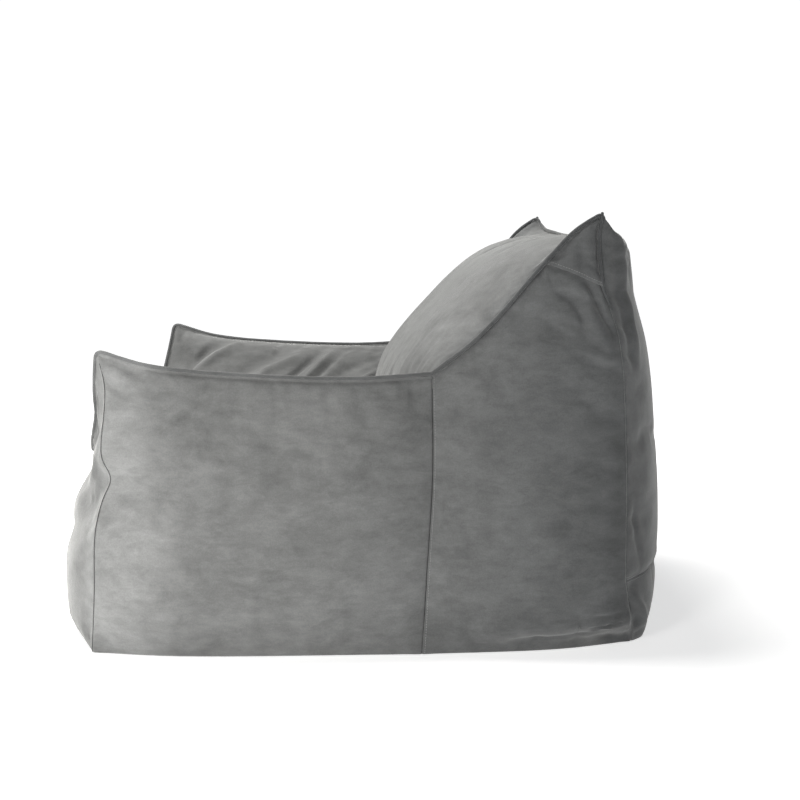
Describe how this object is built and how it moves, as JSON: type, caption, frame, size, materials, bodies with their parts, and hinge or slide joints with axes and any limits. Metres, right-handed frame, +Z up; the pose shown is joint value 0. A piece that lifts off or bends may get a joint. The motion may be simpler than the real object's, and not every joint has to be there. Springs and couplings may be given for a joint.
{
  "type": "bean bag chair",
  "caption": "Low velvet bean bag armchair with a sloping back, pointed corners, piped upper seams and a sliding zip low on the back.",
  "frame": {"origin": "on the floor under the middle of the chair's bounding box", "axes": "+Z up, the front of the seat towards -Y, +X on the sitter's left"},
  "size_m": [0.9466, 1.14, 0.7797],
  "materials": {
    "velvet": "brushed grey velvet",
    "velvet_piping": "velvet over piping cord",
    "base_cloth": "coarse non-slip cloth",
    "liner_cloth": "plain woven",
    "beads": "expanded polystyrene beads",
    "zip_tape": "woven tape",
    "zip_coil": "nylon coil",
    "zip_metal": "satin nickel"
  },
  "bodies": {
    "chair": {"arm_side_panel_left": "velvet", "arm_side_panel_right": "velvet", "rear_side_panel_left": "velvet", "rear_side_panel_right": "velvet", "corner_yoke_left": "velvet", "corner_yoke_right": "velvet", "inner_arm_panel_left": "velvet", "inner_arm_panel_right": "velvet", "front_panel": "velvet", "seat_panel": "velvet", "backrest_panel": "velvet", "back_panel": "velvet", "back_lower_panel": "velvet", "side_piping_left": "velvet_piping", "side_piping_right": "velvet_piping", "front_piping": "velvet_piping", "back_top_piping": "velvet_piping", "rear_corner_piping_left": "velvet_piping", "rear_corner_piping_right": "velvet_piping", "base_panel": "base_cloth", "zip_coil_upper": "zip_coil", "zip_coil_lower": "zip_coil", "zip_tape_upper": "zip_tape", "zip_tape_lower": "zip_tape", "zip_stop_closed": "zip_metal", "zip_stop_open": "zip_metal", "liner": "liner_cloth", "liner_closure": "zip_tape", "back_baffle": "liner_cloth", "arm_baffle_left": "liner_cloth", "arm_baffle_right": "liner_cloth", "seat_beads": "beads", "arm_beads_left": "beads", "arm_beads_right": "beads", "back_beads": "beads"},
    "zip_slider": {"zip_slider": "zip_metal"}
  },
  "joints": [
    {"name": "zip_slide", "type": "slide", "parent": "chair", "child": "zip_slider", "axis": [-1, 0, 0], "range_m": [0, 0.384]}
  ]
}
